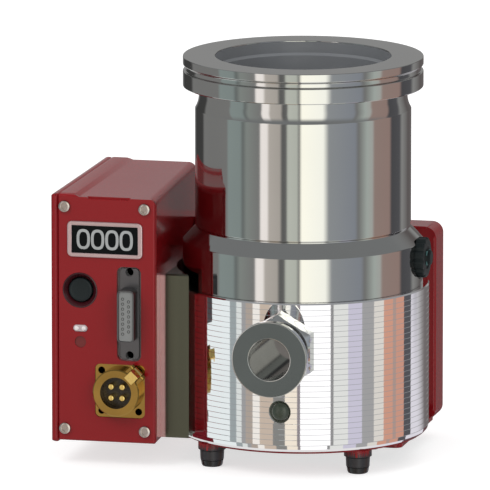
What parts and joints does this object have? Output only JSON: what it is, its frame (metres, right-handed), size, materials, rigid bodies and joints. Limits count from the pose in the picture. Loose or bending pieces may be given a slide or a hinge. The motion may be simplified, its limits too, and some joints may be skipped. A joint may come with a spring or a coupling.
{
  "type": "turbomolecular vacuum pump",
  "caption": "Upright turbomolecular vacuum pump: steel casing with clamped inlet flange, aluminium lower housing with fore-line port, and a red drive box with display and connectors.",
  "frame": {"origin": "centre of the inlet flange's sealing face, on the rotor axis", "axes": "+Z along the rotor axis out of the inlet, -Y towards the front with the fore-line port and the operating panel, -X towards the drive case"},
  "size_m": [0.145, 0.125, 0.1604],
  "materials": {
    "casing_steel": "polished turned stainless steel",
    "housing_aluminium": "bright turned aluminium",
    "adapter_metal": "polished",
    "red_paint": "glossy red paint",
    "port_steel": "polished steel",
    "dark_plastic": "matt",
    "plug_rubber": "smooth dark rubber",
    "rubber": "matt black rubber",
    "screw_steel": "zinc plated",
    "rotor_metal": "milled",
    "carbon": "carbon fibre in resin",
    "bearing_steel": "ground steel",
    "winding": "potted laminations and copper",
    "cage_plastic": "fibre laminate",
    "felt": "oiled felt",
    "frame_metal": "satin",
    "window_black": "smoked window",
    "light_white": "clear light pipe",
    "light_red": "red lens",
    "shell_metal": "tin plated",
    "brass": "bright brass",
    "board_green": "solder mask"
  },
  "bodies": {
    "pump_body": {"adapter_block": "adapter_metal", "adapter_screws": "screw_steel", "back_screws": "screw_steel", "base_plate": "red_paint", "base_screws": "screw_steel", "bearing_clamp": "screw_steel", "bearing_damper": "rubber", "bearing_outer_race": "bearing_steel", "bearing_star": "rotor_metal", "board_parts": "dark_plastic", "button_bezel": "dark_plastic", "button_switch": "dark_plastic", "casing_screws": "screw_steel", "casing_seal": "rubber", "control_board": "board_green", "display_frame": "frame_metal", "display_module": "dark_plastic", "display_window": "window_black", "drag_stator": "rotor_metal", "drive_case": "red_paint", "fault_light": "light_red", "fixed_magnets": "bearing_steel", "foot_studs": "screw_steel", "fore_line_port": "port_steel", "front_panel": "red_paint", "lower_housing": "housing_aluminium", "motor_stator": "winding", "oil_pad": "felt", "oil_wick": "felt", "panel_screws": "screw_steel", "power_insulator": "dark_plastic", "power_pins": "brass", "power_socket": "brass", "rear_housing": "red_paint", "reservoir_cover": "screw_steel", "rubber_feet": "rubber", "sealing_plug": "plug_rubber", "side_cover": "red_paint", "side_screws": "screw_steel", "signal_insert": "dark_plastic", "signal_shell": "shell_metal", "spacer_rings": "rotor_metal", "stator_disc_1": "rotor_metal", "stator_disc_2": "rotor_metal", "stator_disc_3": "rotor_metal", "status_light": "light_white", "upper_casing": "casing_steel"},
    "rotor_assembly": {"rotor": "rotor_metal", "drag_drum": "carbon", "turning_magnets": "bearing_steel", "shaft": "bearing_steel", "motor_magnet": "bearing_steel", "bearing_inner_race": "bearing_steel", "oil_nut": "screw_steel"},
    "ball_set": {"bearing_balls": "bearing_steel", "bearing_cage": "cage_plastic"},
    "button": {"start_button": "dark_plastic"},
    "latch": {"connector_latch": "brass"},
    "vent": {"vent_screw": "dark_plastic"}
  },
  "joints": [
    {"name": "rotor_spin", "type": "hinge", "parent": "pump_body", "child": "rotor_assembly", "pos_m": [0, 0, -0.08], "axis": [0, 0, 1], "continuous": true},
    {"name": "ball_set_spin", "type": "hinge", "parent": "pump_body", "child": "ball_set", "pos_m": [0, 0, -0.1245], "axis": [0, 0, 1], "continuous": true},
    {"name": "button_press", "type": "slide", "parent": "pump_body", "child": "button", "axis": [0, 1, 0], "range_m": [0, 0.0015], "stiffness_N_per_m": 400},
    {"name": "latch_swing", "type": "hinge", "parent": "pump_body", "child": "latch", "pos_m": [-0.05674, -0.0443, -0.12194], "axis": [-0.7071, 0, 0.7071], "range_deg": [0, 30], "stiffness_Nm_per_rad": 0.02},
    {"name": "vent_turn", "type": "hinge", "parent": "pump_body", "child": "vent", "pos_m": [0.0463, 0, -0.079], "axis": [1, 0, 0], "range_deg": [0, 360]}
  ],
  "couplings": [
    {"joint": "ball_set_spin", "follows": "rotor_spin", "ratio": 0.4}
  ]
}
